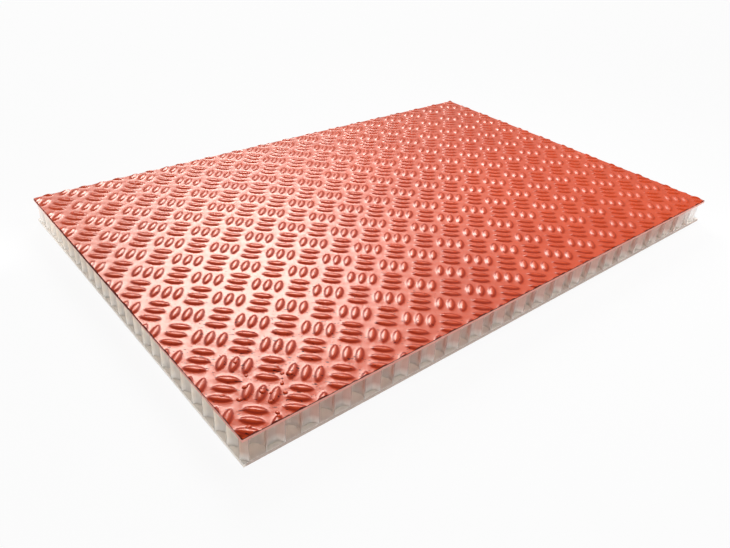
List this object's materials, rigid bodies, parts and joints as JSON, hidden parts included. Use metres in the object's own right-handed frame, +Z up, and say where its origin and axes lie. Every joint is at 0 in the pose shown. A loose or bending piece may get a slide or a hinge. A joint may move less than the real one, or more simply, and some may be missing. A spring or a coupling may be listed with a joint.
{
  "type": "sandwich panel sample",
  "caption": "Flat rectangular sandwich panel with a raised chequer tread on a red fibreglass skin, a plastic honeycomb core and a plain skin below.",
  "frame": {"origin": "middle of the underside", "axes": "+X along the long side, +Y along the short side, +Z up, out of the tread"},
  "size_m": [0.3, 0.2, 0.0138],
  "materials": {
    "red_gelcoat": "glossy red gelcoat over fibreglass laminate",
    "milky_plastic": "milky translucent polypropylene, sawn",
    "plain_laminate": "plain fibreglass laminate, dull"
  },
  "bodies": {
    "root": {"top_skin": "red_gelcoat", "honeycomb_core": "milky_plastic", "bottom_skin": "plain_laminate"}
  },
  "joints": []
}
